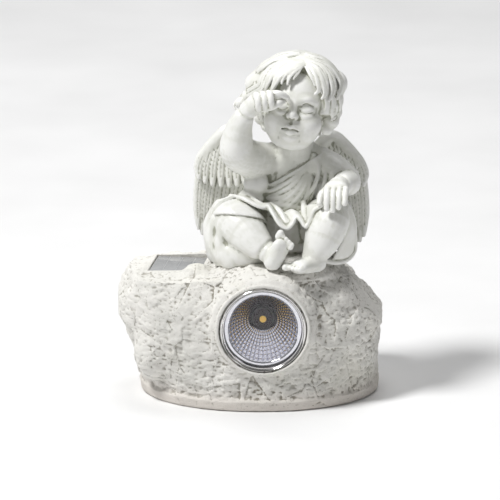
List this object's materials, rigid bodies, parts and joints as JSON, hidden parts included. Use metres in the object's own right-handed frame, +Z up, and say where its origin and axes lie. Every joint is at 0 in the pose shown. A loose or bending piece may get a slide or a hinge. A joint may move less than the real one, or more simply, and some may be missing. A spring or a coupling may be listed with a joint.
{
  "type": "solar garden ornament with a seated cherub",
  "caption": "Cast-resin garden ornament: a seated cherub rubbing one eye, on a rock with a round spotlight in its front and a solar panel in its top.",
  "frame": {"origin": "centre of the underside, on the surface it stands on", "axes": "+Z up, -Y towards the viewer (the lamp's side), +X to the viewer's right"},
  "size_m": [0.12, 0.0855, 0.16],
  "materials": {
    "resin": "ivory-white cast resin with a grey-green wash in its hollows",
    "panel": "smooth clear-coated solar cell",
    "plated_ring": "polished plating",
    "clear_lens": "clear polished window",
    "reflector": "faceted bright plating",
    "board": "dark disc",
    "chip": "yellow phosphor"
  },
  "bodies": {
    "root": {"cherub_on_rock": "resin", "solar_panel": "panel", "lamp_ring": "plated_ring", "lamp_lens": "clear_lens", "lamp_reflector": "reflector", "led_board": "board", "led_chip": "chip"}
  },
  "joints": []
}
